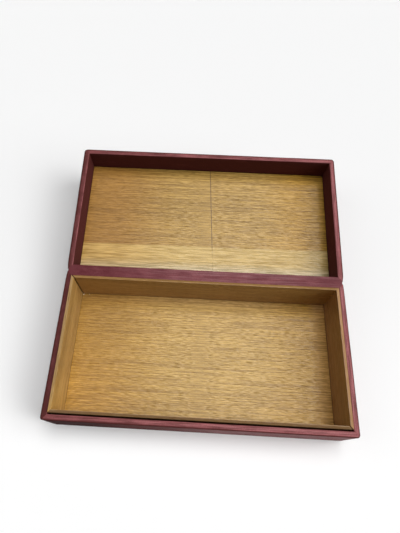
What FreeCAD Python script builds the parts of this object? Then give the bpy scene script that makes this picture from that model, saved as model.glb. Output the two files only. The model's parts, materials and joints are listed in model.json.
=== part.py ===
import FreeCAD, Part
import math
import os

# Hinged tea ceremony box: two leather-covered wooden trays joined by a leather spine.
# The lower tray holds an oak liner that stands proud of the rim and locates the closed lid.
# Frame: origin at the centre of the lower tray's underside, +Z up, +Y towards the hinge.
# The lid lies open behind the lower tray. Lengths are millimetres, angles degrees.

# Outside of the two trays
box_length = 320.0
box_depth = 165.0
base_height = 53.0
lid_height = 37.0

# Wooden core of both trays
wall_board = 4.0
bottom_board = 4.0
top_board = 4.0
board_corner_radius = 2.1
board_hinge_corner_radius = 0.4

# Leather covering
leather = 0.9
turn_under = 10.0
base_turn_in = 14.0
underside_clearance = 0.2

# Oak liner of the lower tray
liner_thickness = 3.8
liner_gap = 0.5
liner_front_gap = 1.5
liner_rise = 4.0
liner_top_flat = 0.6
liner_bevel_drop = 2.4
liner_joint_gap = 1.4

# Oak panels
floor_panel_thickness = 2.1
lid_panel_thickness = 2.1
panel_clearance = 0.3
lid_panel_joint_x = 7.7
lid_panel_joint_slant = 2.9
lid_panel_joint_gap = 0.1

# Leather hinge
hinge_slack = 0.4
closed_rim_gap = 0.3
open_angle = 175.3

# Values that follow from the sizes above
wall = leather + wall_board + leather
hinge_corner_radius = board_hinge_corner_radius + leather
half_length = box_length / 2
half_depth = box_depth / 2
hinge_gutter = 2 * leather + hinge_slack
hinge_y = half_depth + hinge_gutter / 2
hinge_z = base_height + closed_rim_gap / 2
floor_z = leather + bottom_board + floor_panel_thickness
liner_outer_inset = wall + liner_gap
liner_front_inset = wall + liner_front_gap
liner_inner_inset = liner_outer_inset + liner_thickness
cut_margin = 1.0

X_AXIS = FreeCAD.Vector(1, 0, 0)
Z_AXIS = FreeCAD.Vector(0, 0, 1)
ORIGIN = FreeCAD.Vector(0, 0, 0)


def block(x_range, y_range, z_range):
    """A plain block between two corners."""
    corner = FreeCAD.Vector(x_range[0], y_range[0], z_range[0])
    size = [high - low for low, high in (x_range, y_range, z_range)]
    return Part.makeBox(size[0], size[1], size[2], corner)


def inset_block(inset, z_range):
    """A block centred on a tray, a given distance inside its outer faces."""
    x_reach = half_length - inset
    y_reach = half_depth - inset
    return block((-x_reach, x_reach), (-y_reach, y_reach), z_range)


def is_upright(edge):
    """Whether an edge runs along Z."""
    start, end = edge.Vertexes[0].Point, edge.Vertexes[-1].Point
    return abs((end - start).normalize().z) > 0.999


def corner_edges(shape, inset, outward):
    """The two upright edges of an inset block's sharp corners at one end of Y."""
    corner_x, corner_y = half_length - inset, outward * (half_depth - inset)
    return [
        edge
        for edge in shape.Edges
        if is_upright(edge)
        and math.hypot(abs(edge.CenterOfMass.x) - corner_x, edge.CenterOfMass.y - corner_y) < 1e-6
    ]


def rounded_inset_block(inset, z_range, hinge_side):
    """An inset block with round upright corners, which are tighter at the hinge."""
    hinge_outward = 1 if hinge_side == "back" else -1
    shape = inset_block(inset, z_range)
    for outward, board_radius in (
        (hinge_outward, board_hinge_corner_radius),
        (-hinge_outward, board_corner_radius),
    ):
        radius = board_radius + leather - inset
        shape = shape.makeFillet(radius, corner_edges(shape, inset, outward))
    return shape


def prism(outline, direction):
    """A solid swept in a straight line from a closed outline of points."""
    points = [FreeCAD.Vector(*point) for point in outline]
    return Part.Face(Part.makePolygon(points + points[:1])).extrude(direction)


def single_solid(shape):
    """The one solid that a boolean result holds, with split faces joined."""
    clean = shape.removeSplitter()
    if len(clean.Solids) != 1:
        raise ValueError("expected one solid, found %d" % len(clean.Solids))
    return clean.Solids[0]


def mitre_wedge(side, height):
    """The space that belongs to one side of a tray, between its two mitre planes."""
    corners = {
        "front": [(-half_length, -half_depth), (half_length, -half_depth)],
        "back": [(half_length, half_depth), (-half_length, half_depth)],
        "left": [(-half_length, half_depth), (-half_length, -half_depth)],
        "right": [(half_length, -half_depth), (half_length, half_depth)],
    }[side]
    ridge = half_length - half_depth
    meeting = {
        "front": [(ridge, 0), (-ridge, 0)],
        "back": [(-ridge, 0), (ridge, 0)],
        "left": [(-ridge, 0)],
        "right": [(ridge, 0)],
    }[side]
    outline = [(x, y, -cut_margin) for x, y in corners + meeting]
    return prism(outline, Z_AXIS * (height + 2 * cut_margin))


def leather_covering(height, turn_in, hinge_side):
    """All the leather on one tray: sides, rim, inner turn-in and the edge turned under."""
    outside = rounded_inset_block(0, (0, height), hinge_side)
    core = rounded_inset_block(leather, (leather, height - leather), hinge_side)
    mouth = inset_block(wall, (height - leather, height))
    under = inset_block(turn_under, (0, leather))
    lining_range = (height - leather - turn_in, height - leather)
    lining = inset_block(wall - leather, lining_range).cut(inset_block(wall, lining_range))
    return outside.cut(core).cut(mouth).cut(under).fuse(lining)


def side_leathers(height, turn_in, hinge_side):
    """The covering cut at its mitres, and on the hinge side between spine and lining."""
    covering = leather_covering(height, turn_in, hinge_side)
    pieces = {}
    for side in ("front", "back", "left", "right"):
        piece = covering.common(mitre_wedge(side, height))
        if side == hinge_side:
            below_rim = (-cut_margin, height - leather)
            rim_and_lining = piece.cut(block_outside_core(below_rim, hinge_side))
            spine = piece.common(block_outside_core(below_rim, hinge_side))
            pieces["lining"] = single_solid(rim_and_lining)
            pieces["spine"] = single_solid(spine)
        else:
            pieces[side] = single_solid(piece)
    return pieces


def block_outside_core(z_range, hinge_side):
    """The space of the spine leather: the outer skin of the hinge side and its turned edge."""
    outward = 1 if hinge_side == "back" else -1
    x_range = (-half_length - cut_margin, half_length + cut_margin)
    skin = sorted((outward * (half_depth - leather), outward * (half_depth + cut_margin)))
    turned = sorted((outward * (half_depth - turn_under), outward * (half_depth + cut_margin)))
    return block(x_range, skin, z_range).fuse(block(x_range, turned, (z_range[0], leather)))


def tray_boards(height, closing_board, hinge_side):
    """The wooden core of one tray: a closing board and four walls that stand on it."""
    wall_range = (leather + closing_board, height - leather)
    closing_range = (leather, leather + closing_board)
    board_inset = leather + wall_board
    ring = rounded_inset_block(leather, wall_range, hinge_side)
    ring = ring.cut(inset_block(board_inset, wall_range))
    x_all = (-half_length, half_length)
    y_inner = (board_inset - half_depth, half_depth - board_inset)
    return {
        "closing": rounded_inset_block(leather, closing_range, hinge_side),
        "front": single_solid(ring.common(block(x_all, (-half_depth, y_inner[0]), wall_range))),
        "back": single_solid(ring.common(block(x_all, (y_inner[1], half_depth), wall_range))),
        "left": single_solid(ring.common(block((-half_length, 0), y_inner, wall_range))),
        "right": single_solid(ring.common(block((0, half_length), y_inner, wall_range))),
    }


def liner_wall(run, half_run, outer_inset, half_width, mitre_gap=0):
    """One oak liner wall along X on the front side, bevelled down outward from a narrow top.

    run gives the ends of its outer face. Both ends are mitred, the right one short by mitre_gap.
    """
    foot = leather + bottom_board
    top = base_height + liner_rise
    outer = outer_inset - half_width
    inner = liner_inner_inset - half_width
    inner_end = half_run - liner_inner_inset
    section = [
        (run[0], outer, foot),
        (run[0], inner, foot),
        (run[0], inner, top),
        (run[0], inner - liner_top_flat, top),
        (run[0], outer, top - liner_bevel_drop),
    ]
    low = foot - cut_margin
    plan = [
        (run[0], outer, low),
        (run[1] - mitre_gap, outer, low),
        (inner_end - mitre_gap, inner, low),
        (-inner_end, inner, low),
    ]
    bar = prism(section, X_AXIS * (run[1] - run[0]))
    return single_solid(bar.common(prism(plan, Z_AXIS * (top - low + cut_margin))))


def oak_liner():
    """Four mitred liner walls. One mitre at the front and one at the back stand a little open."""
    x_outer = half_length - liner_outer_inset
    y_front = half_depth - liner_front_inset
    y_back = half_depth - liner_outer_inset
    long_run = (-x_outer, x_outer)
    front = liner_wall(long_run, half_length, liner_front_inset, half_depth, liner_joint_gap)
    back = liner_wall(long_run, half_length, liner_outer_inset, half_depth, liner_joint_gap)
    back.rotate(ORIGIN, Z_AXIS, 180)
    left = liner_wall((-y_back, y_front), half_depth, liner_outer_inset, half_length)
    left.rotate(ORIGIN, Z_AXIS, -90)
    right = liner_wall((-y_front, y_back), half_depth, liner_outer_inset, half_length)
    right.rotate(ORIGIN, Z_AXIS, 90)
    return {"front": front, "back": back, "left": left, "right": right}


def lid_panels():
    """Two oak leaves on the lid's board, butted near the middle on a slightly slanting joint."""
    low_z = leather + top_board
    sheet = inset_block(wall + panel_clearance, (low_z, low_z + lid_panel_thickness))
    lean = half_depth * math.tan(math.radians(lid_panel_joint_slant))
    leaves = {}
    for side, outward in (("left", -1), ("right", 1)):
        joint_x = lid_panel_joint_x + outward * lid_panel_joint_gap / 2
        outline = [
            (joint_x + lean, -half_depth, low_z),
            (joint_x - lean, half_depth, low_z),
            (outward * half_length, half_depth, low_z),
            (outward * half_length, -half_depth, low_z),
        ]
        leaves[side] = single_solid(sheet.common(prism(outline, Z_AXIS * lid_panel_thickness)))
    return leaves


def underside_panel():
    """The leather sheet that fills the space between the turned-under edges."""
    return inset_block(turn_under + underside_clearance, (0, leather))


def place_lid(shape):
    """Moves a piece of the lid tray from the tray's own place to the open lid."""
    moved = shape.copy()
    moved.translate(FreeCAD.Vector(0, box_depth + hinge_gutter, base_height - lid_height))
    moved.rotate(FreeCAD.Vector(0, hinge_y, hinge_z), X_AXIS, 180 - open_angle)
    return moved


def turned_with_lid(y, z):
    """Where a point of the level open lid goes when the lid stands at its open angle."""
    tilt = math.radians(180 - open_angle)
    dy = y - hinge_y
    dz = z - hinge_z
    turned_y = hinge_y + dy * math.cos(tilt) - dz * math.sin(tilt)
    turned_z = hinge_z + dy * math.sin(tilt) + dz * math.cos(tilt)
    return turned_y, turned_z


def hinge_web(top_depth):
    """One leather web across the gutter, its top face that deep below the rims."""
    z_low = base_height - top_depth - leather
    z_high = base_height - top_depth
    lid_edge_y = half_depth + hinge_gutter
    section = [
        (half_depth, z_low),
        (half_depth, z_high),
        turned_with_lid(lid_edge_y, z_high),
        turned_with_lid(lid_edge_y, z_low),
    ]
    reach = half_length - hinge_corner_radius
    return prism([(-reach, y, z) for y, z in section], X_AXIS * (2 * reach))


def build_parts():
    """Every piece of the box, by name."""
    base_boards = tray_boards(base_height, bottom_board, "back")
    base_leathers = side_leathers(base_height, base_turn_in, "back")
    liner = oak_liner()
    lid_boards = tray_boards(lid_height, top_board, "front")
    lid_lining_depth = lid_height - 2 * leather - top_board
    lid_leathers = side_leathers(lid_height, lid_lining_depth, "front")
    panels = lid_panels()
    floor_range = (leather + bottom_board, floor_z)
    parts = {
        "base_bottom_board": base_boards["closing"],
        "base_underside_leather": underside_panel(),
        "base_floor_panel": inset_block(liner_inner_inset + panel_clearance, floor_range),
        "base_spine_leather": base_leathers["spine"],
        "base_hinge_lining": base_leathers["lining"],
        "hinge_spine_web": hinge_web(leather),
        "hinge_lining_web": hinge_web(0),
        "lid_top_board": place_lid(lid_boards["closing"]),
        "lid_top_leather": place_lid(underside_panel()),
        "lid_panel_left": place_lid(panels["left"]),
        "lid_panel_right": place_lid(panels["right"]),
        "lid_spine_leather": place_lid(lid_leathers["spine"]),
        "lid_hinge_lining": place_lid(lid_leathers["lining"]),
    }
    for side in ("front", "back", "left", "right"):
        parts["base_%s_board" % side] = base_boards[side]
        parts["base_liner_%s" % side] = liner[side]
    for side in ("front", "left", "right"):
        parts["base_%s_leather" % side] = base_leathers[side]
    # With the lid open its own front is the side furthest from the hinge.
    lid_sides = {"front": "back", "back": "front", "left": "left", "right": "right"}
    for name, side in lid_sides.items():
        parts["lid_%s_board" % name] = place_lid(lid_boards[side])
    for name in ("front", "left", "right"):
        parts["lid_%s_leather" % name] = place_lid(lid_leathers[lid_sides[name]])
    return parts


os.makedirs("parts", exist_ok=True)
for name, shape in sorted(build_parts().items()):
    shape.exportStep("parts/%s.step" % name)
    print("%-24s %9.1f mm3  valid %s" % (name, shape.Volume, shape.isValid()))
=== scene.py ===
# %% [markdown]
# # A leather tea ceremony box
# The box is two wooden trays covered in burgundy leather and joined along one long side by a
# leather hinge. The solid pieces come ready made from the CAD model, so this script only dresses
# them. It loads them first, because everything else is placed by them.

# %% Load the solid pieces
import json
from math import cos, exp, pi, radians, sin, sqrt, tan

import bmesh
import bpy
from mathutils import Matrix, Vector, noise


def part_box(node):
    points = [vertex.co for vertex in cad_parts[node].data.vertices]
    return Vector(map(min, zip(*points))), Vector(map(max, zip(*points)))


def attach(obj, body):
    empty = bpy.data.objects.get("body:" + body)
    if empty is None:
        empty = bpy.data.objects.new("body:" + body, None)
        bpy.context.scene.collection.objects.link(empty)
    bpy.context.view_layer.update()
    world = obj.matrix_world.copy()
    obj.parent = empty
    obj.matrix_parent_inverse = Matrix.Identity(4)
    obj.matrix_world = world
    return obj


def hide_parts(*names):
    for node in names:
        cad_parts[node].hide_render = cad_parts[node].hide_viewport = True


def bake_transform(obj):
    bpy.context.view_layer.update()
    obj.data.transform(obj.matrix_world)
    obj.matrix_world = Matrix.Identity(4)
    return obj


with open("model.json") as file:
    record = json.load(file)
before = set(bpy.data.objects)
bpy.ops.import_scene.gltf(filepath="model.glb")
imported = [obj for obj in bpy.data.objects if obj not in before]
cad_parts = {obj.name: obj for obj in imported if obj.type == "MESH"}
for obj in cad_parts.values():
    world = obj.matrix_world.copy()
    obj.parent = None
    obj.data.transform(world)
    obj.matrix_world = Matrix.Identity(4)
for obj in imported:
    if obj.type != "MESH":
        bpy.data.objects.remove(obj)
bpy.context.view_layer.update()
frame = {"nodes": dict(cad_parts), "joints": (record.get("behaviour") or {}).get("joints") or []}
nodes = frame["nodes"]

# %% [markdown]
# A few sizes are needed again here: how thick the walls and the leather are, and where the hinge
# turns. The outer sizes are read off the solids, so the leather always fits the box it covers.
# Everything is worked out in millimetres, which suits a small box, and turned to metres at the end.

# %% Sizes of the two trays
MM = 0.001
HALF_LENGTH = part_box("base_right_leather")[1].x / MM
HALF_DEPTH = -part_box("base_front_leather")[0].y / MM
BASE_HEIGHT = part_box("base_front_leather")[1].z / MM
LID_HEIGHT = 37.0
WALL = 5.8  # a board between two leathers
LEATHER = 0.9
FAR_CORNER, HINGE_CORNER = 3.0, 1.3  # radius of a corner away from the hinge, and beside it
GUTTER = 2.2  # the gap between the trays
HALF_GUTTER = GUTTER / 2
TURN_UNDER = 10.0  # how far the leather turns in over a tray's closed face
# The heights at which the inner leather ends, behind the liner and behind the lid's oak.
BASE_LINING_END = BASE_HEIGHT - LEATHER - 14.0
LID_LINING_END = 4.9
hinge = frame["joints"][0]
HINGE_Y, HINGE_Z = hinge["pos_m"][1] / MM, hinge["pos_m"][2] / MM
LID_TILT = radians(180.0 - hinge["range_deg"][1])
print("tray", 2 * HALF_LENGTH, "x", 2 * HALF_DEPTH, "hinge line", HINGE_Y, HINGE_Z)

# %% [markdown]
# Each tray is easiest to describe by itself, standing level with its open side up. The lower tray
# already stands like that. The lid tray lies open behind it, so its points are moved behind the
# hinge and then tipped up a little about the hinge line, because the inner leather pulls tight
# before the lid lies quite flat.

# %% From a tray's own place to its place in the scene
def place(tray, x, y, z):
    """A point of a tray, in millimetres from the middle of its closed face, in metres."""
    if tray == "lid":
        y += 2 * HALF_DEPTH + GUTTER - HINGE_Y
        z += BASE_HEIGHT - LID_HEIGHT - HINGE_Z
        y, z = y * cos(LID_TILT) - z * sin(LID_TILT), y * sin(LID_TILT) + z * cos(LID_TILT)
        y, z = y + HINGE_Y, z + HINGE_Z
    return Vector((x, y, z)) * MM


print("far rim of the lid:", place("lid", 0, HALF_DEPTH, LID_HEIGHT))

# %% [markdown]
# The camera stands over the front of the lower tray and looks down into both trays, a little from
# the left. A small sideways lens shift brings the box to the middle of the picture without turning
# the camera, so that its edges keep their slant.

# %% Camera
CAMERA_AT = (-0.014463, -0.115944, 0.510115)
YAW, PITCH, ROLL = 0.0629, 0.4321, -0.0092
camera = bpy.data.objects.new("camera", bpy.data.cameras.new("camera"))
bpy.context.collection.objects.link(camera)
bpy.context.scene.camera = camera
camera.data.sensor_width = 36.0
camera.data.lens = 29.03
camera.data.shift_x = 0.03598
camera.data.dof.use_dof = False
camera.data.clip_start = 0.01
turn = Matrix.Rotation(YAW, 4, "Z") @ Matrix.Rotation(PITCH, 4, "X") @ Matrix.Rotation(ROLL, 4, "Z")
camera.matrix_world = Matrix.Translation(CAMERA_AT) @ turn
print("camera at", camera.matrix_world.translation)

# %% [markdown]
# Shader maths reads best as ordinary sums. This small class wraps a socket, so that `1 - mask` or
# `grain * 0.3 + pores` adds the Math nodes by itself. A chain of Math nodes wired by hand does the
# same, but nobody can read it afterwards.

# %% Sums on sockets
class Value:
    """A number that varies over a surface, with the usual signs."""

    def __init__(self, bench, socket):
        self.bench, self.socket = bench, socket

    def sum(self, operation, first, second):
        """Adds one Math node."""
        return self.bench.node("ShaderNodeMath", {"operation": operation}, {0: first, 1: second})

    def __add__(self, other):
        return self.sum("ADD", self, other)

    def __radd__(self, other):
        return self.sum("ADD", other, self)

    def __sub__(self, other):
        return self.sum("SUBTRACT", self, other)

    def __rsub__(self, other):
        return self.sum("SUBTRACT", other, self)

    def __mul__(self, other):
        return self.sum("MULTIPLY", self, other)

    def __rmul__(self, other):
        return self.sum("MULTIPLY", other, self)

    def __truediv__(self, other):
        return self.sum("DIVIDE", self, other)

    def __rtruediv__(self, other):
        return self.sum("DIVIDE", other, self)


print("signs on a value: + - * /")

# %% [markdown]
# All other nodes come from one method, which sets a node's options first and then its sockets,
# because some options change which sockets a node has. The shorter methods after it are the few
# nodes that leather, oak and card all need: noise, a soft step, two colours blended and a bump.

# %% A bench for materials
class Bench:
    """A node tree under construction."""

    def __init__(self, owner, shader):
        owner.use_nodes = True
        self.tree = owner.node_tree
        self.shader = self.tree.nodes[shader]

    def node(self, kind, settings, sockets, out=0):
        """Any node: its type, its settings, its sockets' values or links, and the output used."""
        made = self.tree.nodes.new(kind)
        for key, value in settings.items():
            setattr(made, key, value)
        for key, value in sockets.items():
            if isinstance(value, Value):
                self.tree.links.new(value.socket, made.inputs[key])
            else:
                made.inputs[key].default_value = value
        return Value(self, made.outputs[out])

    def feed(self, **links):
        """Joins values to the shader's own sockets."""
        for socket, value in links.items():
            self.tree.links.new(value.socket, self.shader.inputs[socket.replace("_", " ")])

    def stretched(self, vector, x, y, z):
        """A vector times three numbers, which sets how long and fine a pattern is."""
        settings = {"operation": "MULTIPLY"}
        return self.node("ShaderNodeVectorMath", settings, {0: vector, 1: (x, y, z)})

    def axis(self, vector, letter):
        """The X, Y or Z of a vector."""
        return self.node("ShaderNodeSeparateXYZ", {}, {0: vector}, out=letter)

    def speckle(self, vector, detail, roughness=0.5):
        """Soft noise from 0 to 1."""
        sockets = {"Vector": vector, "Scale": 1.0, "Detail": detail, "Roughness": roughness}
        return self.node("ShaderNodeTexNoise", {}, sockets)

    def drawn_out(self, spot, along, across, detail):
        """Noise drawn out along the grain, from how often it repeats in a unit along and across."""
        return self.speckle(self.stretched(spot, along, across, across), detail)

    def between(self, value, low, high):
        """0 below low, 1 above high, smooth in between; low above high turns it round."""
        settings = {"interpolation_type": "SMOOTHSTEP"}
        sockets = {0: value, 1: low, 2: high, 3: 0.0, 4: 1.0}
        if low > high:
            sockets.update({1: high, 2: low, 3: 1.0, 4: 0.0})
        return self.node("ShaderNodeMapRange", settings, sockets)

    def blend(self, factor, first, second, how="MIX"):
        """Two colours through a Mix node."""
        first = first if isinstance(first, Value) else (*first, 1.0)
        second = second if isinstance(second, Value) else (*second, 1.0)
        settings = {"data_type": "RGBA", "blend_type": how}
        return self.node("ShaderNodeMix", settings, {0: factor, 6: first, 7: second}, out=2)

    def bump(self, height, depth):
        """A Bump node: height from 0 to 1, depth in millimetres."""
        return self.node("ShaderNodeBump", {}, {"Height": height, "Distance": depth * MM})


class Finish(Bench):
    """A material, built node by node on one Principled shader."""

    def __init__(self, name, **constants):
        self.material = bpy.data.materials.new(name)
        super().__init__(self.material, "Principled BSDF")
        for socket, value in constants.items():
            self.shader.inputs[socket.replace("_", " ")].default_value = value


print("shader helpers ready")

# %% [markdown]
# The box stands on plain white card. Its colour is a painted shade, greyer behind the box than in
# front. One flat face is enough for it, as long as it reaches far past everything that the camera
# sees.

# %% Floor
CARD_FAR, CARD_NEAR = 0.16, -0.12  # its tone changes between these places, in metres
CARD_REACH = 6.0
CARD_GAP = 0.2  # it lies just under the box, so that no two faces share a plane
card = Finish("white_card", Roughness=0.9, Specular_IOR_Level=0.1)
card_y = card.axis(card.node("ShaderNodeTexCoord", {}, {}, out="Object"), "Y")
# Painted shade: the card's colour is a shade greyer behind the box than in front.
near_front = card.between(card_y, CARD_FAR, CARD_NEAR)
card.feed(Base_Color=card.blend(near_front, (0.925, 0.925, 0.925), (0.99, 0.99, 0.99)))
floor_mesh = bpy.data.meshes.new("floor")
corners = [(x * CARD_REACH, y * CARD_REACH, 0) for x, y in ((-1, -1), (1, -1), (1, 1), (-1, 1))]
floor_mesh.from_pydata(corners, [], [(0, 1, 2, 3)])
floor_mesh.materials.append(card.material)
floor = bpy.data.objects.new("floor", floor_mesh)
floor.location.z = -CARD_GAP * MM
bpy.context.collection.objects.link(floor)
print("card:", 2 * CARD_REACH, "m wide")

# %% [markdown]
# Five wide, soft lamps stand for the room's light: the ceiling, a skylight a little behind the box,
# a tall window on the right, its lower panes and the pale wall on the left. The window is the
# strongest, and gives the shadow on the left and the dark inner walls on the right. A sun lamp with
# a large angle suits them all: it is soft, and it lights the whole floor evenly, so the card stays
# white right to the edge. The white surround only fills the background and the reflections, and
# adds almost no light.

# %% Light
ROOM_LIGHT = 0.001
world = bpy.data.worlds.new("room")
bpy.context.scene.world = world
room = Bench(world, "Background")
room.shader.inputs["Color"].default_value = (1.0, 1.0, 1.0, 1.0)
rays = [room.node("ShaderNodeLightPath", {}, {}, out=f"Is {kind} Ray")
        for kind in ("Camera", "Glossy", "Transmission")]
settings = {"operation": "ADD", "use_clamp": True}
seen = room.node("ShaderNodeMath", settings, {0: rays[0] + rays[1], 1: rays[2]})
room.feed(Strength=ROOM_LIGHT + seen * (1.0 - ROOM_LIGHT))


def sun_lamp(name, toward, strength, width):
    """A lamp that stands in a direction from the box and is some degrees wide."""
    lamp = bpy.data.objects.new(name, bpy.data.lights.new(name, "SUN"))
    bpy.context.collection.objects.link(lamp)
    lamp.rotation_mode = "QUATERNION"
    lamp.rotation_quaternion = Vector(toward).to_track_quat("Z", "Y")
    lamp.data.energy = strength
    lamp.data.angle = radians(width)
    print(name, "shines from", toward)


sun_lamp("ceiling", (0.10, 0.05, 1.0), 0.985, 40.0)
sun_lamp("skylight", (0.18, 0.26, 0.93), 0.634, 30.0)
sun_lamp("window", (0.67, 0.0, 0.74), 1.268, 34.0)
sun_lamp("low_window", (0.81, -0.30, 0.50), 0.85, 34.0)
sun_lamp("left_wall", (-0.67, 0.0, 0.74), 0.30, 40.0)
bpy.context.scene.view_settings.view_transform = "Standard"

# %% [markdown]
# Oak is known by three things: rings that run as long lines or arches, open pores that show as
# short dark dashes along the grain, and pale flecks where the rays surface. Here the flecks also
# carry painted glints. The rings come first.
# A flat pattern of wavy lines could stand for them, but here they are circles about a slanting line
# under the board, as in the tree, so that arches form by themselves where the board is cut close to
# the heart. Round a knot the rings swing aside, and there a second set of circles does the same.

# %% Rings of the tree
RING, KNOT_RING = 3.6, 8.0  # from ring to ring, in millimetres
RING_DRIFT, RING_WAVER = 16.0, 3.0  # how far the rings stray, in millimetres
KNOT_DRIFT, KNOT_WAVER = 2.0, 0.8  # how far a knot's rings stray, counted in rings
FRAYED = 0.4  # how far single fibres fray a ring
KNOT_REACH, KNOT_CORE = 95.0, 50.0  # a knot's rings fade between these distances


def growth_rings(finish, x, y, heart, slope, drift, waver, fibres):
    """1 in the early wood of a ring, where the pores crowd, and 0 in its late wood."""
    depth = (x - heart[0]) * slope + heart[2]
    across = y - heart[1] + (drift - 0.5) * RING_DRIFT + (waver - 0.5) * RING_WAVER
    squares = across * across + depth * depth
    radius = finish.node("ShaderNodeMath", {"operation": "SQRT"}, {0: squares})
    turns = radius / RING + fibres * FRAYED
    ring = finish.node("ShaderNodeMath", {"operation": "FRACT"}, {0: turns})
    return finish.between(ring, 0.5, 0.0) + finish.between(ring, 0.8, 1.0)


def knot_rings(finish, spot, knot, drift, waver):
    """The circles that swing round a knot and fade out away from it."""
    away = finish.node("ShaderNodeVectorMath", {"operation": "SUBTRACT"}, {0: spot, 1: knot})
    sockets = {0: finish.stretched(away, 1.0, 1.0, 0.0)}
    distance = finish.node("ShaderNodeVectorMath", {"operation": "LENGTH"}, sockets, out="Value")
    turns = distance / KNOT_RING + (drift - 0.5) * KNOT_DRIFT + (waver - 0.5) * KNOT_WAVER
    ring = finish.node("ShaderNodeMath", {"operation": "FRACT"}, {0: turns})
    arcs = finish.between(ring, 0.45, 0.0) + finish.between(ring, 0.75, 1.0)
    return arcs * finish.between(distance, KNOT_REACH, KNOT_CORE)


print("rings", RING, "mm apart, round a knot", KNOT_RING)

# %% [markdown]
# Fibres, pores and flecks are noise drawn out along the grain. An image texture would do as well,
# but it has an edge, while noise goes on for ever. The two ends of a board may each take a tint of
# their own. These tints are painted light and shade, standing in for sheen and shade that fall
# unevenly along the board. More colour may be laid over its oak.

# %% Oak
# How often each pattern repeats in a millimetre along the grain and across it, and its detail.
GRAIN = {
    "drift": (0.007, 0.02, 2.0),
    "waver": (0.05, 0.06, 2.0),
    "fibres": (0.009, 0.95, 1.0),
    "strands": (0.05, 1.1, 0.0),
    "patches": (0.011, 0.04, 2.0),
    "pores": (0.13, 1.45, 0.0),
    "flecks_and_glints": (0.17, 1.45, 0.0),
    "stripes": (0.008, 0.075, 1.0),
    "sapwood": (0.018, 1.0, 1.0),
    "border": (0.01, 0.0, 2.0),
}
PORE_CUT, FLECK_CUT = (0.52, 0.66), (0.5, 0.66)  # noise that is faintly or fully one
PORE_SHADE = 0.45
GRAIN_DEPTH = 0.09
PLAIN = (1.0, 1.0, 1.0)
# Where a painted tint of light and shade starts and where it is full, towards each end of a board
# and towards its far edge.
LEFT_END, RIGHT_END, FAR_EDGE = (-20.0, -125.0), (60.0, 140.0), (-60.0, 50.0)


def oak(name, dark, light, heart=(0.0, -62.0, 5.0), slope=0.05, turned=False, over=None,
        ends=(PLAIN, PLAIN), corner=1.0, knot=None, stripe=0.0, pore=0.45, fleck_and_glint=0.25, rough=0.4):
    """Oak with its grain along X, or along Y when turned. heart is a point of the heart line. ends
    are painted tints of light and shade towards the board's left and right end. corner is how dark
    its far left corner is, partly its own tone and partly painted shade. knot is a point that the
    rings swing round. stripe is how strong the broad lengthwise stripes of a board cut along its
    rings are. over lays more colour over the oak."""
    finish = Finish(name, Specular_IOR_Level=0.2, Coat_Roughness=0.26)
    spot = finish.node("ShaderNodeTexCoord", {}, {}, out="Object")
    quarter = (0.0, 0.0, -pi / 2 if turned else 0.0)
    in_mm = (1 / MM, 1 / MM, 1 / MM)
    sockets = {"Vector": spot, "Rotation": quarter, "Scale": in_mm}
    spot = finish.node("ShaderNodeMapping", {"vector_type": "POINT"}, sockets)
    x, y = finish.axis(spot, "X"), finish.axis(spot, "Y")
    drift = finish.drawn_out(spot, *GRAIN["drift"])
    waver = finish.drawn_out(spot, *GRAIN["waver"])
    fibres = finish.drawn_out(spot, *GRAIN["fibres"])
    strands = finish.drawn_out(spot, *GRAIN["strands"])
    patches = finish.drawn_out(spot, *GRAIN["patches"])
    early = growth_rings(finish, x, y, heart, slope, drift, waver, fibres)
    pores = finish.between(finish.drawn_out(spot, *GRAIN["pores"]), *PORE_CUT)
    pores = pores * (0.7 + 0.3 * early)
    flecks_and_glints = finish.between(finish.drawn_out(spot, *GRAIN["flecks_and_glints"]), *FLECK_CUT)
    left, right = finish.between(x, *LEFT_END), finish.between(x, *RIGHT_END)
    calm = 1.0 - left * 0.25
    # Flecks lighten the colour: partly the oak's rays, partly painted glints.
    tone = (0.48 + ((fibres - 0.5) * 2.0 + (strands - 0.5) * 1.2 + flecks_and_glints * fleck_and_glint) * calm
            + (patches - 0.5) * 0.4 - early * 0.09)
    if knot:
        tone = tone - knot_rings(finish, spot, knot, drift, waver) * 0.2
    if stripe:
        tone = tone + (finish.drawn_out(spot, *GRAIN["stripes"]) - 0.5) * stripe
    colour = finish.blend(finish.between(tone, -0.2, 1.2), dark, light)
    colour = finish.blend(pores * calm * pore, colour, [c * PORE_SHADE for c in dark])
    # Painted light and shade: the tints at the two ends stand in for sheen that falls unevenly
    # along the board.
    colour = finish.blend(left, colour, ends[0], how="MULTIPLY")
    colour = finish.blend(right, colour, ends[1], how="MULTIPLY")
    # The far left corner is darker: partly the oak's own tone, partly painted shade.
    dark_and_shaded_corner = left * finish.between(y, *FAR_EDGE)
    colour = finish.blend(dark_and_shaded_corner, colour, (corner, corner, corner), how="MULTIPLY")
    if over:
        colour = over(finish, spot, colour, strands, pores, left)
    height = 0.5 + (fibres + strands) * 0.25 - pores * 0.5
    finish.feed(Base_Color=colour, Roughness=rough + pores * 0.2,
                Coat_Weight=0.25 + flecks_and_glints * 0.3 - pores * 0.2,
                Normal=finish.bump(height, GRAIN_DEPTH))
    return finish


def dress(node_name, finish):
    """Gives a solid its finish."""
    nodes[node_name].data.materials.clear()
    nodes[node_name].data.materials.append(finish.material)


print("tints from x =", LEFT_END[0], "and", RIGHT_END[0], "mm outwards")

# %% [markdown]
# The floor is one board with a knot just beyond its front edge, near the left. Along its far and
# right walls the oak is painted greyer, as the colour of the shade there. The boards inside the
# walls never show, but the model is used by itself as well, so they get the look of plain sawn
# softwood.

# %% Floor of the tray and hidden boards
SHADE_TINT_RIGHT, SHADE_TINT_FAR = (126.0, 143.0), (56.0, 70.0)


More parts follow.
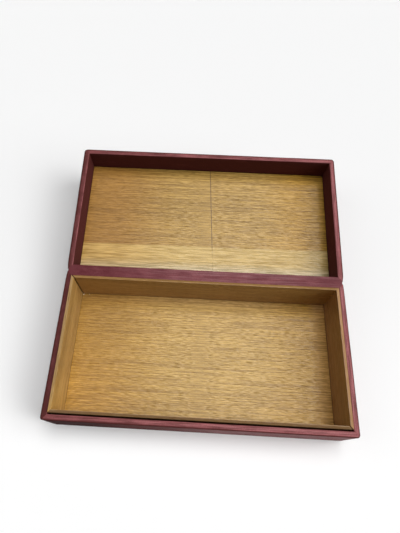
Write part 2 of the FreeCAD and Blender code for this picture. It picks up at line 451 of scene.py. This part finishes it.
def shade_tint_at_walls(finish, spot, colour, strands, pores, left):
    """Painted shade: turns the floor greyer towards its right and far walls."""
    at_right = finish.between(finish.axis(spot, "X"), *SHADE_TINT_RIGHT)
    at_far = finish.between(finish.axis(spot, "Y"), *SHADE_TINT_FAR)
    colour = finish.blend(at_right, colour, (0.98, 1.0, 2.2), how="MULTIPLY")
    return finish.blend(at_far, colour, (1.0, 1.0, 1.35), how="MULTIPLY")


floor_oak = oak("floor_oak", (0.315, 0.178, 0.034), (0.633, 0.398, 0.104),
                heart=(-120.0, -58.0, 5.0), slope=0.07, corner=0.74,
                ends=((1.03, 0.91, 0.62), (1.05, 0.94, 0.42)), knot=(-109.0, -97.0, 0.0),
                over=shade_tint_at_walls)
plain_board = oak("plain_board", (0.42, 0.29, 0.16), (0.60, 0.45, 0.27), pore=0.1, fleck_and_glint=0.0,
                  rough=0.75)
dress("base_floor_panel", floor_oak)
board_names = [node_name for node_name in nodes if node_name.endswith("_board")]
for node_name in board_names:
    dress(node_name, plain_board)
print("floor in", floor_oak.material.name, "and", len(board_names), "hidden boards")

# %% [markdown]
# The lid's two leaves were cut from one board whose edge along the hinge is sapwood, the young pale
# wood under the bark. It is laid over the oak as a second colour with a soft, slightly wandering
# border, yellow by the border and greyer and streakier towards the hinge. A thin dark line of dirt
# has settled in the joint between the leaves and fades before it reaches the hinge.

# %% Oak of the lid
SAP_EDGE, SAP_SLANT, SAP_WANDER = 135.0, 0.008, 6.0
GREY_FROM, GREY_FULL = 117.0, 103.0
JOINT_X, JOINT_SLANT = 7.7, radians(2.9)
JOINT_CLEAN, JOINT_DIRTY = 118.0, 150.0
LEAF_TOP = 7.0
LID_MIDDLE = place("lid", 0, 0, LEAF_TOP).y / MM


def sapwood(finish, spot, colour, strands, pores, left):
    """Lays the sapwood band and the dirty joint over the lid's oak."""
    x, y = finish.axis(spot, "X"), finish.axis(spot, "Y")
    border = finish.drawn_out(spot, *GRAIN["border"])
    edge = SAP_EDGE + (border - 0.5) * SAP_WANDER + x * SAP_SLANT
    streaks = finish.drawn_out(spot, *GRAIN["sapwood"]) * 0.6 + strands * 0.4
    pale = finish.between(streaks, 0.38, 0.62)
    yellow = finish.blend(pale, (0.42, 0.268, 0.065), (0.715, 0.50, 0.18))
    grey = finish.blend(pale, (0.32, 0.24, 0.095), (0.735, 0.58, 0.35))
    greyed = finish.between(y + (streaks - 0.5) * 12.0, GREY_FROM, GREY_FULL)
    band = finish.blend(greyed, yellow, grey)
    band = finish.blend(pores * 0.2, band, (0.25, 0.17, 0.07))
    # Painted light and shade: the band's left end takes the same darker, more orange tint as the
    # oak's left end.
    band = finish.blend(left * 0.8, band, (0.88, 0.77, 0.62), how="MULTIPLY")
    colour = finish.blend(finish.between(y - edge, 1.2, -1.2), colour, band)
    joint = x - JOINT_X + (y - LID_MIDDLE) * tan(JOINT_SLANT)
    off_joint = finish.node("ShaderNodeMath", {"operation": "ABSOLUTE"}, {0: joint})
    dirt = finish.between(off_joint, 0.9, 0.1) * finish.between(y, JOINT_CLEAN, JOINT_DIRTY)
    return finish.blend(dirt * 0.75, colour, (0.10, 0.06, 0.025))


lid_oak = oak("lid_oak", (0.266, 0.15, 0.030), (0.598, 0.368, 0.094), heart=(-60.0, 268.0, 30.0),
              over=sapwood, ends=((0.78, 0.645, 0.51), (1.04, 0.92, 0.42)))
for node_name in ("lid_panel_left", "lid_panel_right"):
    dress(node_name, lid_oak)
print("lid leaves in", lid_oak.material.name, "joined near x =", JOINT_X)

# %% [markdown]
# The liner walls are plainer oak. Front and back are alike. Each side has a grain of its own, and
# its colour is painted lighter on the left, which faces the light, and darker on the right, which
# is in shade. The front one is painted darker on its outer bevel, which faces away from the light.
# The left one is painted lighter there, as a painted highlight. All the oak that shows has its
# sharp edges eased by a small Bevel modifier, because a sanded edge catches a fine line of light.

# %% Oak of the liner
FRONT_BEVEL = (-72.5, -73.1)
LEFT_BEVEL = (150.2, 151.0)
EASED = 0.2


def shaded_front_bevel(finish, spot, colour, strands, pores, left):
    """Painted shade: darkens the outer bevel of the front liner, which faces away from the light.
    """
    bevel_shade = finish.between(finish.axis(spot, "Y"), *FRONT_BEVEL) * 0.62
    return finish.blend(bevel_shade, colour, (0.10, 0.044, 0.010))


def lit_left_bevel(finish, spot, colour, strands, pores, left):
    """Painted highlight: lightens the left liner's outer bevel. Its grain is turned, so Y runs out
    of the box here.
    """
    on_bevel = finish.between(finish.axis(spot, "Y"), *LEFT_BEVEL)
    return finish.blend(on_bevel, colour, (1.25, 1.22, 1.3), how="MULTIPLY")


liner_oak = oak("liner_oak", (0.27, 0.141, 0.041), (0.445, 0.257, 0.086), over=shaded_front_bevel,
                pore=0.35, stripe=0.6)
# Painted light: the left liner's oak is lighter, and lighter still towards one end.
lit_left_liner_oak = oak("lit_left_liner_oak", (0.307, 0.17, 0.045), (0.50, 0.303, 0.095), turned=True,
                     over=lit_left_bevel, pore=0.3, stripe=2.6,
                     ends=((2.3, 2.45, 2.2), (0.9, 0.9, 0.9)))
# Painted shade: the right liner's oak is darker.
shaded_right_liner_oak = oak("shaded_right_liner_oak", (0.24, 0.119, 0.036), (0.39, 0.208, 0.077), turned=True,
                      pore=0.3, stripe=0.6)
liners = {"front": liner_oak, "back": liner_oak, "left": lit_left_liner_oak, "right": shaded_right_liner_oak}
for side, finish in liners.items():
    dress(f"base_liner_{side}", finish)
    print(side, "liner in", finish.material.name)
oak_pieces = [f"base_liner_{side}" for side in liners]
oak_pieces += ["base_floor_panel", "lid_panel_left", "lid_panel_right"]
for node_name in oak_pieces:
    bevel = nodes[node_name].modifiers.new("eased_edge", "BEVEL")
    bevel.width = EASED * MM
    bevel.segments = 2
print("edges eased:", len(oak_pieces))

# %% [markdown]
# The leather has the fine pebble grain of goatskin, dyed burgundy and rubbed lighter where hands
# touch it, with painted sheen and shade laid on its colour as well. Its pattern has to run round
# the edges as the real skin does, so every sheet carries its own unrolled coordinates in an
# attribute called hide, in millimetres. A second one, called rim, says how light it is painted
# there: 0 is untouched, 1 is a rubbed rim with painted sheen, above 1 is a painted highlight, and
# below 0 is painted shade.

# %% Leather
PEBBLES_PER_MM = 1.3
LEATHER_GRAIN = 0.12


def burgundy(name, deep, worn_and_sheen, streak):
    """Burgundy leather: pebble grain, long wrinkles, uneven dye, and a rim made lighter by rubbing
    and by painted sheen, with painted shade where the rim value is below 0.
    """
    finish = Finish(name, Specular_IOR_Level=0.08, Coat_Roughness=0.38)
    hide = finish.node("ShaderNodeAttribute", {"attribute_name": "hide"}, {}, out="Vector")
    rim = finish.node("ShaderNodeAttribute", {"attribute_name": "rim"}, {}, out="Fac")
    settings = {"feature": "SMOOTH_F1", "distance": "EUCLIDEAN"}
    sockets = {"Vector": hide, "Scale": PEBBLES_PER_MM, "Smoothness": 0.35}
    pebble = finish.node("ShaderNodeTexVoronoi", settings, sockets, out="Distance")
    fine = finish.drawn_out(hide, 1.7, 1.7, 2.0)
    mottle = finish.speckle(finish.stretched(hide, 0.05, 0.12, 0.1), 3.0, roughness=0.6)
    wrinkle = finish.speckle(finish.stretched(hide, 0.025, 0.8, 0.8), 2.0, roughness=0.6)
    rubbed_and_sheen = finish.between(wrinkle, 0.42, 0.62) * (0.1 + 0.9 * finish.between(rim, 0.7, 1.1))
    # The rim value lightens the colour: rubbing and painted sheen.
    tone = (mottle - 0.5) * 0.7 + rubbed_and_sheen * streak + fine * 0.2 + rim * 0.35 - 0.13
    colour = finish.blend(finish.between(tone, 0.0, 0.8), deep, worn_and_sheen)
    # Painted shade: where the rim value is below 0, at the left end of the front face, the colour
    # goes darker.
    front_face_shade = finish.between(rim, 0.0, -0.6)
    colour = finish.blend(front_face_shade, colour, [c * 0.3 for c in deep])
    grain = finish.between(pebble, 0.15, 0.75)
    colour = finish.blend(grain * 0.3, colour, [c * 0.5 for c in deep])
    height = (1.0 - grain) * 0.5 + fine * 0.2 + rubbed_and_sheen * 0.3
    finish.feed(Base_Color=colour, Roughness=0.5 + 0.3 * (1.0 - rim) + grain * 0.12,
                Coat_Weight=rim * (0.08 + rubbed_and_sheen * 0.25),
                Normal=finish.bump(height, LEATHER_GRAIN))
    return finish


cover_leather = burgundy("cover_leather", (0.09, 0.022, 0.020), (0.405, 0.124, 0.130), 0.5)
hinge_leather = burgundy("hinge_leather", (0.104, 0.0175, 0.0235), (0.292, 0.092, 0.101), 0.12)
print("leathers:", cover_leather.material.name, hinge_leather.material.name)

# %% [markdown]
# A covered wall is one strip of leather folded round the board: turned under the bottom, up the
# outside, over the rim and down the inside. Its section is a path of straight runs joined by arcs,
# because leather can't be folded to a knife edge. Each point of the path keeps the direction that
# it faces and its distance along the skin.

# %% The section of a covered wall
ARC_STEPS = 6
RIM_RADIUS, TURN_RADIUS = 1.5, 0.9


def folded(corners, radii, longest=4.5):
    """Points (u, z, facing u, facing z, distance) of a path of runs joined by arcs, where u is the
    depth in the wall and no two points are further apart than longest."""
    points = [Vector(corners[0])]
    for before, corner, after, radius in zip(corners, corners[1:], corners[2:], radii):
        back = (Vector(before) - Vector(corner)).normalized()
        ahead = (Vector(after) - Vector(corner)).normalized()
        centre = Vector(corner) + (back + ahead) * radius
        for step in range(ARC_STEPS + 1):
            angle = pi / 2 * step / ARC_STEPS
            points.append(centre - ahead * radius * cos(angle) - back * radius * sin(angle))
    points.append(Vector(corners[-1]))
    path = [points[0]]
    for point in points[1:]:
        start = path[-1]
        parts = max(1, int((point - start).length / longest + 0.999))  # rounded up
        path += [start.lerp(point, (i + 1) / parts) for i in range(parts)]
    made, distance = [], 0.0
    for i, point in enumerate(path):
        run = path[min(i + 1, len(path) - 1)] - path[max(i - 1, 0)]
        distance += (point - path[i - 1]).length if i else 0.0
        facing = Vector((-run.y, run.x)).normalized()
        made.append((point.x, point.y, facing.x, facing.y, distance))
    return made


def wall_section(height, lining_end):
    """The whole wrap of one wall, from the turned edge round to the end of the lining."""
    corners = [(TURN_UNDER, 0), (0, 0), (0, height), (WALL, height), (WALL, lining_end)]
    return folded(corners, (TURN_RADIUS, RIM_RADIUS, TURN_RADIUS))


base_section = wall_section(BASE_HEIGHT, BASE_LINING_END)
lid_section = wall_section(LID_HEIGHT, LID_LINING_END)
print("skin across a wall of the lower tray:", round(base_section[-1][4], 1), "mm")

# %% [markdown]
# Along the wall, the strip runs straight and then turns half of each corner, where it meets its
# neighbour at a mitre. A tray's corner is round outside and sharp inside, so every point of the
# section takes its own corner radius from how deep it lies in the wall.

# %% Along a wall
NEAR_CORNER = (0.0, 0.35, 0.8, 1.4, 2.2, 3.5, 5.5)
CORNER_STEPS = 5
SPACING = 4.0
SHARPEST = 0.2  # the least radius that leather takes, inside a corner


def spread(half, near_end):
    """Places along a line of that half length, evenly spaced but closer together near its ends."""
    count = int(2 * half / SPACING)
    even = [half * (2 * i / count - 1) for i in range(count + 1)]
    inner = [s for s in even if abs(s) < half - near_end[-1] - 1.0]
    ends = [half - d for d in near_end]
    return sorted([-s for s in ends] + inner + ends)


def stations(half):
    """Where the strip is measured along a wall: (distance from the middle, angle of the turn)."""
    line = spread(half, NEAR_CORNER)
    turns = [pi / 4 * (i + 1) / CORNER_STEPS for i in range(CORNER_STEPS)]
    start = [(-half, -angle) for angle in reversed(turns)]
    return start + [(s, 0.0) for s in line] + [(half, angle) for angle in turns]


def corner_sizes(tray, side):
    """The corner radii at the two ends of a wall: the corners at the hinge are tighter."""
    if side in ("front", "back"):
        return FAR_CORNER, FAR_CORNER
    hinge_last = (side == "right") == (tray == "base")
    return (FAR_CORNER, HINGE_CORNER) if hinge_last else (HINGE_CORNER, FAR_CORNER)


def along_wall(half, station, u, corners):
    """(s, u) of a point u deep in a wall of that half length, at that station."""
    s, angle = station
    radius = max(corners[0 if s < 0 else 1] - u, SHARPEST)
    straight = half - u - radius
    sign = -1.0 if s < 0 else 1.0
    s = s / half * straight + sign * radius * sin(abs(angle))
    return s, u + radius * (1 - cos(angle))


long_stations = stations(HALF_LENGTH)
print("stations:", len(long_stations), "on a long wall")

# %% [markdown]
# Hand-laid leather is never quite flat. It sinks a little between its edges, ripples in long soft
# folds and dips where two mitred edges meet. These are real shapes that catch the light, so they
# are made in the mesh: every point moves about a tenth of a millimetre into the wall. Noise from
# mathutils does it in Python, and gives the same folds each time.

# %% How far the leather sinks
SINK = 0.09
# Length along the wall, width across it and height, in millimetres, and a shift of the noise.
UNEVEN = (
    (17.0, 6.0, 0.05, 0.0),  # soft hollows
    (34.0, 1.3, 0.08, 7.0),  # long folds
    (5.0, 2.5, 0.03, 3.0),  # small bumps
)
MITRE_DIP, MITRE_WIDTH = 0.25, 0.4
CROWN = 0.2


def sink(s, distance, facing_z, from_corner, seed):
    """How far a point of leather lies under its smooth surface, in millimetres."""
    low = SINK
    for length, width, height, shift in UNEVEN:
        low += height * noise.noise(Vector((s / length, distance / width, seed + shift)))
    mitre = MITRE_DIP * exp(-((from_corner / MITRE_WIDTH) ** 2)) * max(facing_z, 0.0)
    return low + mitre


def crown(u, facing_z):
    """How far a point of the rim lies under its middle, which is a little higher."""
    across = (u - WALL / 2) / (WALL / 2)
    return CROWN * across * across * max(facing_z, 0.0) if 0.0 < u < WALL else 0.0


print("least and most sink:", round(sink(0, 0, 0, 9, 0), 3), round(sink(0, 0, 1, 0, 0), 3))

# %% [markdown]
# A sheet is a grid of points, one column for each station. It is built as a single skin, because
# that is how leather is cut, and a Solidify modifier then gives it its thickness.

# %% Sheets of leather
SKIN = 0.75
HIDE_SHIFT = 50.0


def on_hide(s, distance, seed):
    """A place on the hide. Each piece is cut from a part of its own."""
    return s, distance, seed * HIDE_SHIFT


def lay_sheet(name, columns, finish, keep=None):
    """A leather sheet from columns of (point in metres, place on the hide, its rim value for
    rubbing and painted light). keep says which faces are kept, by the number of their column and
    row."""
    rows = len(columns[0])
    faces = [
        (i * rows + j, (i + 1) * rows + j, (i + 1) * rows + j + 1, i * rows + j + 1)
        for i in range(len(columns) - 1)
        for j in range(rows - 1)
        if keep is None or keep(i, j)
    ]
    grid = [spot for column in columns for spot in column]
    used = sorted({corner for face in faces for corner in face})
    number = {old: new for new, old in enumerate(used)}
    faces = [[number[corner] for corner in face] for face in faces]
    points = [grid[old] for old in used]
    mesh = bpy.data.meshes.new(name)
    mesh.from_pydata([point for point, _, _ in points], [], faces)
    mesh.attributes.new("hide", "FLOAT_VECTOR", "POINT")
    mesh.attributes.new("rim", "FLOAT", "POINT")
    for i, (_, spot, rubbed_and_sheen) in enumerate(points):
        mesh.attributes["hide"].data[i].vector = spot
        mesh.attributes["rim"].data[i].value = rubbed_and_sheen
    mesh.shade_smooth()
    mesh.materials.append(finish.material)
    sheet = bpy.data.objects.new(name, mesh)
    bpy.context.collection.objects.link(sheet)
    skin = sheet.modifiers.new("thickness", "SOLIDIFY")
    skin.thickness = SKIN * MM
    skin.offset = -1.0
    return sheet


print("leather", SKIN, "mm thick")

# %% [markdown]
# Each wall then gets its strip. Stretched by hand and glued, the leather stands proud of the board
# by up to a millimetre and a half, more at one end of a wall than at the other. Its rims are
# painted lighter, partly for rubbing by hands and partly as painted sheen, more on some walls than
# on others. Both go smoothly from end to end of a wall, so a pair of numbers is enough for each.

# %% Covering the walls
SIDES = {
    "front": lambda s, u: (s, u - HALF_DEPTH),
    "right": lambda s, u: (HALF_LENGTH - u, s),
    "back": lambda s, u: (-s, HALF_DEPTH - u),
    "left": lambda s, u: (u - HALF_LENGTH, -s),
}
# For each wall, at its two ends in anticlockwise order seen from above: how far the leather stands
# out in millimetres, and how light its rim is painted, for rubbing and painted sheen.
STANDS_OUT = {
    ("base", "front"): (0.4, 0.4), ("base", "right"): (0.4, 0.4), ("base", "left"): (0.4, 1.1),
    ("lid", "back"): (0.9, 1.1), ("lid", "right"): (1.1, 0.7), ("lid", "left"): (1.5, 0.9),
}
RIM_WEAR_AND_SHEEN = {
    ("base", "front"): (0.8, 1.2), ("base", "right"): (1.1, 1.1), ("base", "left"): (0.35, 0.2),
    ("lid", "back"): (1.0, 0.8), ("lid", "right"): (1.1, 1.1), ("lid", "left"): (0.7, 0.7),
}
# Painted light and shade across a rim, from its outer edge to its inner one, where it isn't even.
ACROSS_LIGHT = {("base", "left"): (1.2, 1.0), ("lid", "left"): (0.6, 1.2)}
EVEN = (1.0, 1.0)
FRONT_SHADE_AND_SHEEN = (-1.0, 0.8)  # the front face, from painted shade at its left end to painted sheen past its middle
# A painted highlight along a rim's inner edge.
INNER_EDGE_HIGHLIGHT = 1.5
HINGE_FADE = 5.0


def away_from_hinge(tray, side, s):
    """0 where a side wall meets the hinge strips, 1 from a few millimetres away from them."""
    if side in ("front", "back"):
        return 1.0
    towards = 1.0 if (side == "right") == (tray == "base") else -1.0
    return 1.0 - exp(-(((HALF_DEPTH - towards * s) / HINGE_FADE) ** 2))


def from_to(ends, share):
    """The value a share of the way from one end to the other."""
    share = min(max(share, 0.0), 1.0)
    return ends[0] + (ends[1] - ends[0]) * share


def wear_and_sheen(wall, share, u, facing_u, facing_z):
    """How light the leather is painted: rubbing and painted sheen on the rim, a painted highlight
    on its inner edge, nothing in the line just below its outer edge, and from painted shade to
    painted sheen along the front."""
    faces_up = from_to((0.0, 1.0), (facing_z - 0.7) / 0.25)
    faces_out = from_to((0.0, 1.0), (-facing_u - 0.9) / 0.1)
    top = from_to(RIM_WEAR_AND_SHEEN[wall], share) * faces_up
    top *= from_to(ACROSS_LIGHT.get(wall, EVEN), u / WALL)
    inner_edge = INNER_EDGE_HIGHLIGHT * max(facing_u, 0.0) * max(facing_z, 0.0)
    face = from_to(FRONT_SHADE_AND_SHEEN, 1.8 * share) * faces_out if wall == ("base", "front") else 0.0
    return top + inner_edge + face


def cover_wall(name, tray, side, section, seed):
    """The leather strip over one wall of a tray."""
    half = HALF_DEPTH if side in ("left", "right") else HALF_LENGTH
    corners = corner_sizes(tray, side)
    columns = []
    for station in stations(half):
        column = []
        for u, z, facing_u, facing_z, distance in section:
            # First the smooth place, which sets how far the point sinks, and then the real one.
            s, deep = along_wall(half, station, u, corners)
            low = sink(s, distance, facing_z, half - deep - abs(s), seed) + crown(u, facing_z)
            share = 0.5 + 0.5 * s / half
            proud = from_to(STANDS_OUT[tray, side], share) * away_from_hinge(tray, side, s)
            proud *= max(-facing_u, 0.0) ** 2
            s, deep = along_wall(half, station, u - facing_u * low - proud, corners)
            x, y = SIDES[side](s, deep)
            column.append((place(tray, x, y, z - facing_z * low), on_hide(s, distance, seed),
                           wear_and_sheen((tray, side), share, u, facing_u, facing_z)))
        columns.append(column)
    return lay_sheet(name, columns, cover_leather)


for seed, side in enumerate(("front", "left", "right")):
    strip = cover_wall(f"leather_base_{side}", "base", side, base_section, seed)
    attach(strip, "base")
    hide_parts(f"base_{side}_leather")
    # The lid's front wall is the far one now that it lies open.
    lid_side = "back" if side == "front" else side
    strip = cover_wall(f"leather_lid_{side}", "lid", lid_side, lid_section, seed + 4)
    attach(strip, "lid")
    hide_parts(f"lid_{side}_leather")
    print(side, "walls covered,", len(strip.data.polygons), "faces each on the lid")

# %% [markdown]
# Two strips of leather make the hinge, one outside and one inside. Each is glued to both trays and
# crosses the narrow gutter between them. A column of points runs across both rims, as a saw cut
# through the hinge would show it. At the corners the strips end and the rims roll down on their
# own, which leaves the small notch.

# %% A column of a hinge strip
ROLL_RADIUS = 1.0
ROLLED_BY = radians(22.0)
HINGE_SINK = 0.8
# Painted sheen along the hinge: at its left end, its middle and its right end.
LEFT_SHEEN, MIDDLE_SHEEN, RIGHT_SHEEN = 0.65, 1.25, 0.95


def rolled_edge(u, angle):
    """How far the rim's outer edge rolls down once the strip has ended at a corner."""
    share = min(abs(angle) / ROLLED_BY, 1.0)
    share = share * share * (3 - 2 * share)
    inside = max(ROLL_RADIUS - u, 0.0)
    return share * (ROLL_RADIUS - sqrt(max(ROLL_RADIUS ** 2 - inside ** 2, 0.0)))


def hinge_sheen(s):
    """Painted sheen on the hinge, strongest in its middle and weakest at its left end."""
    if s < 0.0:
        return from_to((LEFT_SHEEN, MIDDLE_SHEEN), s / 140.0 + 1.0)
    return from_to((MIDDLE_SHEEN, RIGHT_SHEEN), (s - 40.0) / 90.0)


def hinge_column(station, rows, shape, seed):
    """One column of a hinge strip. Each row is (tray, w, height, facing w, facing z, distance),
    where w runs away from the front, from 0 at the outside of the tray's hinge wall."""
    column = []
    for tray, w, z, facing_w, facing_z, distance in rows:
        u = max(-w if tray == "base" else w, 0.0)
        over_gutter = max(w if tray == "base" else -w, 0.0)
        s, deep = along_wall(HALF_LENGTH, station, u, (HINGE_CORNER, HINGE_CORNER))
        low = sink(s, distance, facing_z, HALF_LENGTH - deep - abs(s), seed) * HINGE_SINK
        z = shape(tray, w, z, station[1]) - facing_z * low
        y = HALF_DEPTH - deep + over_gutter + (0 if over_gutter else -facing_w * low)
        if tray == "lid":
            y = deep - HALF_DEPTH - over_gutter - (0 if over_gutter else facing_w * low)
        column.append((place(tray, s, y, z), on_hide(s, distance, seed),
                       max(facing_z, 0.0) * hinge_sheen(s)))
    return column


print("hinge rubbed", LEFT_SHEEN, "to", MIDDLE_SHEEN, "to", RIGHT_SHEEN)

# %% [markdown]
# The columns make one sheet from tray to tray.

# %% A strip from tray to tray
SPINE_SKIP = 0.2


def hinge_strip(name, base_path, lid_path, base_first, shape, seed):
    """A strip of leather from one tray to the other. shape gives the height of each of its points
    from (tray, w, height, angle of the turn)."""
    paths = [("base", base_path), ("lid", lid_path)]
    if not base_first:
        paths.reverse()
    rows, gone = [], 0.0
    for tray, path in paths:
        rows += [(tray, *point[:4], point[4] + gone) for point in path]
        gone = rows[-1][-1] + (HALF_GUTTER if base_first else SPINE_SKIP)
    columns = [hinge_column(station, rows, shape, seed) for station in long_stations]
    over_gutter = {i for i, row in enumerate(rows)
                   if abs(row[1]) > 1e-6 and (row[1] > 0) == (row[0] == "base")}
    straight = [abs(station[1]) < 1e-9 for station in long_stations]

    def keep(i, j):
        spans = j in over_gutter or j + 1 in over_gutter
        return (straight[i] and straight[i + 1]) or not spans

    strip = lay_sheet(name, columns, hinge_leather, keep)
    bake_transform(strip)
    return strip


def halved(path, first):
    """The path with one more point half-way along the run that starts at point number first."""
    middle = tuple((a + b) / 2 for a, b in zip(path[first], path[first + 1]))
    return path[:first + 1] + [middle] + path[first + 1:]


print("strips take", len(long_stations), "columns each")

# %% [markdown]
# The inner strip lies over both rims and dips a little in the gutter. The folds over the rims are
# small arcs, so its points stand close together there.

# %% The inner leather of the hinge
DIP = 0.35
LINING_TURN, LINING_STEP = 0.8, 0.7
NEAR_RIM = 1.3


def lining_shape(tray, w, z, angle):
    """The lining's rim rolls down at the corners."""
    rim = BASE_HEIGHT if tray == "base" else LID_HEIGHT
    return z - rolled_edge(abs(w), angle) if z > rim - NEAR_RIM else z


corners = [(-WALL, BASE_LINING_END), (-WALL, BASE_HEIGHT), (0, BASE_HEIGHT)]
base_lining = folded(corners, (LINING_TURN,), LINING_STEP)
last = len(base_lining) - 1
base_lining.append((HALF_GUTTER, BASE_HEIGHT - DIP, 0.0, 1.0, base_lining[-1][4] + HALF_GUTTER))
base_lining = halved(halved(halved(base_lining, last), last + 1), last)
corners = [(0, LID_HEIGHT), (WALL, LID_HEIGHT), (WALL, LID_LINING_END)]
lid_lining = folded(corners, (LINING_TURN,), LINING_STEP)
for share in (0.25, 0.5, 0.75):
    reach = -HALF_GUTTER * share
    lid_lining.insert(0, (reach, LID_HEIGHT - DIP * share, 0.0, 1.0, reach))
lining = hinge_strip("leather_hinge_lining", base_lining, lid_lining, True, lining_shape, 9)
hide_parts("base_hinge_lining", "lid_hinge_lining", "hinge_lining_web")
print("hinge lining:", len(lining.data.polygons), "faces")

# %% [markdown]
# The outer strip comes up the back of the lower tray, turns into the gutter just under the inner
# one, and goes down the lid's back wall. When the lid is shut it folds outwards as a small ridge.

# %% The outer leather of the hinge
WEB_DEPTH = 2 * LEATHER
WEB_TURN, HEEL_TURN, SPINE_STEP = 0.5, 1.0, 2.0


def spine_shape(tray, w, z, angle):
    """The spine's top edge reaches up under the rolled rim at the corners."""
    rim = BASE_HEIGHT if tray == "base" else LID_HEIGHT
    top = rim - WEB_DEPTH - WEB_TURN
    return z + (rim - ROLL_RADIUS - top) * (abs(angle) > 0) if abs(z - top) < 1e-6 else z


base_web, lid_web = BASE_HEIGHT - WEB_DEPTH, LID_HEIGHT - WEB_DEPTH
corners = [(HALF_GUTTER, base_web), (0, base_web), (0, 0), (-TURN_UNDER, 0)]
base_spine = halved(folded(corners, (WEB_TURN, HEEL_TURN), SPINE_STEP), 0)
corners = [(TURN_UNDER, 0), (0, 0), (0, lid_web), (-HALF_GUTTER, lid_web)]
lid_spine = folded(corners, (HEEL_TURN, WEB_TURN), SPINE_STEP)
lid_spine = halved(lid_spine, len(lid_spine) - 2)
spine = hinge_strip("leather_hinge_spine", base_spine, lid_spine, False, spine_shape, 10)
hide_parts("base_spine_leather", "lid_spine_leather", "hinge_spine_web")
print("hinge spine:", len(spine.data.polygons), "faces")

# %% [markdown]
# A flat sheet of the same leather fills the space between the turned edges, under the lower tray
# and over the lid's top. Its rim dips where it is rubbed down against them.

# %% The flat sheets
SHEET_GAP = 0.2
NEAR_EDGE = (0.0, 0.2, 0.5, 1.0, 1.8, 3.0)
SHEET_SINK, SHEET_SOFT = 0.06, 0.05
SHEET_HOLLOW = 19.0  # the size of its soft hollows
EDGE_DIP = 0.35


def flat_sheet(name, tray, seed):
    """A leather sheet on a tray's closed face."""
    half_x = HALF_LENGTH - TURN_UNDER - SHEET_GAP
    half_y = HALF_DEPTH - TURN_UNDER - SHEET_GAP
    columns = []
    for x in spread(half_x, NEAR_EDGE):
        column = []
        for y in reversed(spread(half_y, NEAR_EDGE)):
            inward = min(half_x - abs(x), half_y - abs(y))
            soft = noise.noise(Vector((x / SHEET_HOLLOW, y / SHEET_HOLLOW, seed)))
            z = SHEET_SINK + SHEET_SOFT * soft + EDGE_DIP * exp(-inward / EDGE_DIP)
            column.append((place(tray, x, y, z), on_hide(x, y, seed), 0.0))
        columns.append(column)
    return lay_sheet(name, columns, cover_leather)


for name, tray, stands_for in (("leather_underside", "base", "base_underside_leather"),
                               ("leather_lid_top", "lid", "lid_top_leather")):
    sheet = flat_sheet(name, tray, 12)
    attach(sheet, tray)
    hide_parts(stands_for)
    print(name, [round(v / MM, 1) for v in sheet.dimensions])

# %% [markdown]
# A few drops of glue squeezed out at the left corners of the floor and dried as small glassy
# beads. Each is a flattened ball, which rests a little way into the floor.

# %% Dried glue
FLATNESS, LIFT = 0.6, 0.15
glue = Finish("dried_glue", Roughness=0.18, Coat_Weight=0.4, Coat_Roughness=0.1)
glue_spot = glue.node("ShaderNodeTexCoord", {}, {}, out="Object")
cloud = glue.drawn_out(glue_spot, 1500.0, 1500.0, 2.0)
glue.feed(Base_Color=glue.blend(cloud, (0.88, 0.80, 0.62), (0.70, 0.55, 0.32)))
corner_x, corner_y, floor_top = (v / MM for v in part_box("base_floor_panel")[1])
# Each drop's distance from the left wall, its place along it, and its radius.
drops = ((0.9, -corner_y + 1.2, 0.75), (0.6, -corner_y + 2.6, 0.4), (1.0, corner_y - 1.3, 0.7),
         (2.3, corner_y - 0.7, 0.5), (8.5, corner_y - 0.5, 0.4))
for i, (inward, y, size) in enumerate(drops):
    shape = bmesh.new()
    bmesh.ops.create_icosphere(shape, subdivisions=3, radius=size * MM)
    for vert in shape.verts:
        vert.co.z *= FLATNESS
        vert.co += Vector((inward - corner_x, y, floor_top + size * LIFT)) * MM
    mesh = bpy.data.meshes.new(f"glue_bead_{i + 1}")
    shape.to_mesh(mesh)
    mesh.shade_smooth()
    mesh.materials.append(glue.material)
    bead = bpy.data.objects.new(mesh.name, mesh)
    bpy.context.collection.objects.link(bead)
    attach(bead, "base")
    print(bead.name, "at", [round(v, 1) for v in (inward - corner_x, y)])
